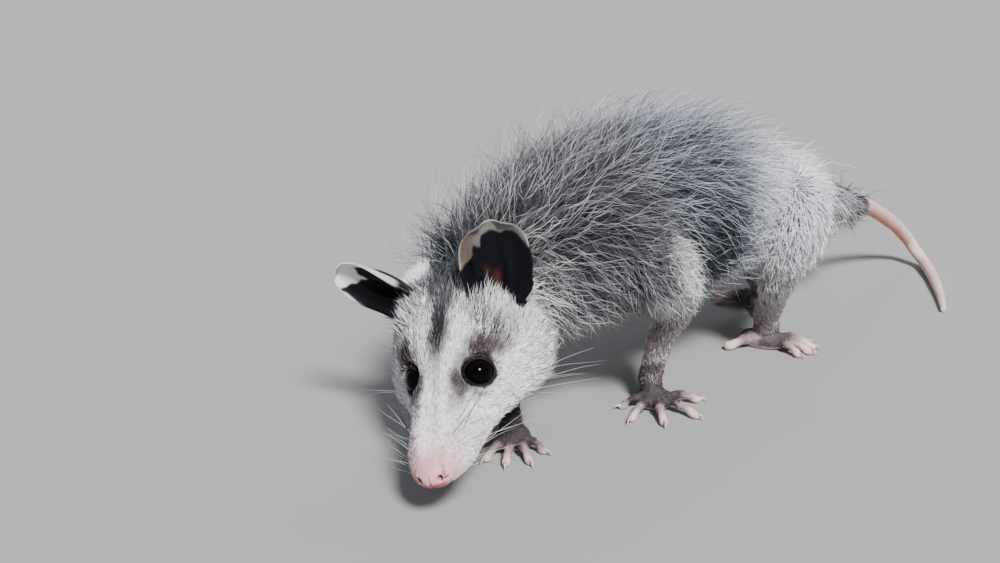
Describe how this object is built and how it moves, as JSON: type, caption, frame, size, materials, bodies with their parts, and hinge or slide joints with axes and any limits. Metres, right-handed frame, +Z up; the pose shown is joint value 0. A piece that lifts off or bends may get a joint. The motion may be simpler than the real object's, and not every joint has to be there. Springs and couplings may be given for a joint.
{
  "type": "opossum",
  "caption": "Still life-size model of a walking Virginia opossum: white pointed face, thin dark ears, shaggy grey coat, bare tail laid on the floor.",
  "frame": {"origin": "on the floor, under the middle of the bounding box", "axes": "+Z up; the head points towards -X and the tail towards +X; the animal's left side faces -Y"},
  "size_m": [0.5098, 0.1426, 0.1523],
  "materials": {
    "coat_head": "short dense fur",
    "coat_lower_jaw": "short dense fur",
    "coat_neck": "long coarse fur",
    "coat_trunk": "long coarse fur",
    "coat_leg": "short fur",
    "coat_foot": "thin fur over bare skin",
    "coat_tail": "bare scaly skin",
    "coat_tail_base": "fur",
    "coat_ear": "bare skin",
    "coat_eye": "wet gloss",
    "coat_nose": "moist bare skin"
  },
  "bodies": {
    "root": {"trunk": "coat_trunk", "neck": "coat_neck", "head": "coat_head", "lower_jaw": "coat_lower_jaw", "nose": "coat_nose", "eye_left": "coat_eye", "eye_right": "coat_eye", "ear_left": "coat_ear", "ear_right": "coat_ear", "foreleg_left": "coat_leg", "forefoot_left": "coat_foot", "foreleg_right": "coat_leg", "forefoot_right": "coat_foot", "hindleg_left": "coat_leg", "hindfoot_left": "coat_foot", "hindleg_right": "coat_leg", "hindfoot_right": "coat_foot", "tail_base": "coat_tail_base", "tail_upper": "coat_tail", "tail_middle": "coat_tail", "tail_tip": "coat_tail"}
  },
  "joints": []
}
